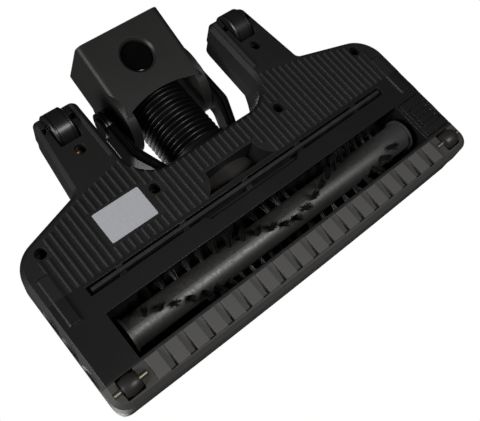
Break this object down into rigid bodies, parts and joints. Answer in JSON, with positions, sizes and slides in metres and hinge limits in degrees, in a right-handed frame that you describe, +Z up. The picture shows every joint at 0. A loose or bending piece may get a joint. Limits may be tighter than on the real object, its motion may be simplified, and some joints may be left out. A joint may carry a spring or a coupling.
{
  "type": "vacuum floor brush head",
  "caption": "Electric vacuum floor head with a ribbed sole, a driven bristle brush, rear wheels, front rollers and a tilting, rolling neck with a tube socket",
  "frame": {"origin": "middle of the footprint, on the floor that the wheels and rollers stand on", "axes": "+Z up, -Y the front edge with the brush, +Y the neck, +X the drive end"},
  "size_m": [0.268, 0.2029, 0.063],
  "materials": {
    "shell_plastic": "fine moulded satin",
    "cover_plastic": "fine moulded satin",
    "duct_plastic": "smooth",
    "wiper_rubber": "matte",
    "motor_steel": "brushed",
    "rotor_steel": "laminated",
    "pulley_plastic": "satin",
    "belt_rubber": "matte",
    "bush_brass": "turned",
    "core_plastic": "polished",
    "axle_steel": "ground",
    "bristle": "nylon bristle",
    "screw_black": "black oxide",
    "screw_brass": "yellow plated",
    "yoke_plastic": "satin",
    "lead_rubber": "smooth",
    "hose_rubber": "satin",
    "neck_plastic": "fine moulded satin",
    "sleeve_plastic": "satin",
    "button_gloss": "gloss",
    "wheel_plastic": "worn satin",
    "roller_plastic": "satin",
    "pin_plastic": "satin"
  },
  "bodies": {
    "head": {"base_shell": "shell_plastic", "top_cover": "cover_plastic", "suction_duct": "duct_plastic", "wiper_strip": "wiper_rubber", "motor": "motor_steel", "drive_belt": "belt_rubber", "drive_bush": "bush_brass", "sole_screws": "screw_black", "arm_screws": "screw_brass", "wheel_axle_left": "axle_steel", "wheel_axle_right": "axle_steel", "roller_axle_left": "axle_steel", "roller_axle_right": "axle_steel"},
    "brush": {"brush_core": "core_plastic", "brush_shaft": "axle_steel", "brush_pulley": "pulley_plastic", "bristle_tufts": "bristle"},
    "rotor": {"motor_rotor": "rotor_steel", "motor_pulley": "pulley_plastic"},
    "latch": {"brush_latch": "shell_plastic", "latch_bush": "bush_brass"},
    "wheel_left": {"rear_wheel_left": "wheel_plastic"},
    "wheel_right": {"rear_wheel_right": "wheel_plastic"},
    "roller_left": {"front_roller_left": "roller_plastic"},
    "roller_right": {"front_roller_right": "roller_plastic"},
    "yoke": {"yoke": "yoke_plastic", "yoke_lead": "lead_rubber", "hose": "hose_rubber", "pivot_pin_left": "pin_plastic", "pivot_pin_right": "pin_plastic"},
    "neck": {"neck_housing": "neck_plastic", "socket_sleeve": "sleeve_plastic", "contact_block": "sleeve_plastic", "contact_pins": "bush_brass"},
    "button": {"release_button": "button_gloss"}
  },
  "joints": [
    {"name": "brush_spin", "type": "hinge", "parent": "head", "child": "brush", "pos_m": [0, -0.06745, 0.0186], "axis": [1, 0, 0], "continuous": true},
    {"name": "motor_spin", "type": "hinge", "parent": "head", "child": "rotor", "pos_m": [0.121, -0.02145, 0.03], "axis": [1, 0, 0], "continuous": true},
    {"name": "latch_slide", "type": "slide", "parent": "head", "child": "latch", "axis": [-1, 0, 0], "range_m": [0, 0.012]},
    {"name": "yoke_roll", "type": "hinge", "parent": "head", "child": "yoke", "pos_m": [0, -0.00245, 0.036], "axis": [0, 1, 0], "range_deg": [-30, 30]},
    {"name": "neck_tilt", "type": "hinge", "parent": "yoke", "child": "neck", "pos_m": [0, 0.05255, 0.036], "axis": [1, 0, 0], "range_deg": [-4, 105], "deforming": ["hose"]},
    {"name": "button_press", "type": "slide", "parent": "neck", "child": "button", "axis": [0, 0.2504, 0.9681], "range_m": [0, 0.0012], "stiffness_N_per_m": 800},
    {"name": "rear_wheel_left_spin", "type": "hinge", "parent": "head", "child": "wheel_left", "pos_m": [0.0665, 0.05305, 0.012], "axis": [1, 0, 0], "continuous": true},
    {"name": "front_roller_left_spin", "type": "hinge", "parent": "head", "child": "roller_left", "pos_m": [0.1213, -0.09045, 0.0056], "axis": [1, 0, 0], "continuous": true},
    {"name": "rear_wheel_right_spin", "type": "hinge", "parent": "head", "child": "wheel_right", "pos_m": [-0.0665, 0.05305, 0.012], "axis": [1, 0, 0], "continuous": true},
    {"name": "front_roller_right_spin", "type": "hinge", "parent": "head", "child": "roller_right", "pos_m": [-0.1213, -0.09045, 0.0056], "axis": [1, 0, 0], "continuous": true}
  ],
  "couplings": [
    {"joint": "motor_spin", "follows": "brush_spin", "ratio": 1.8}
  ]
}
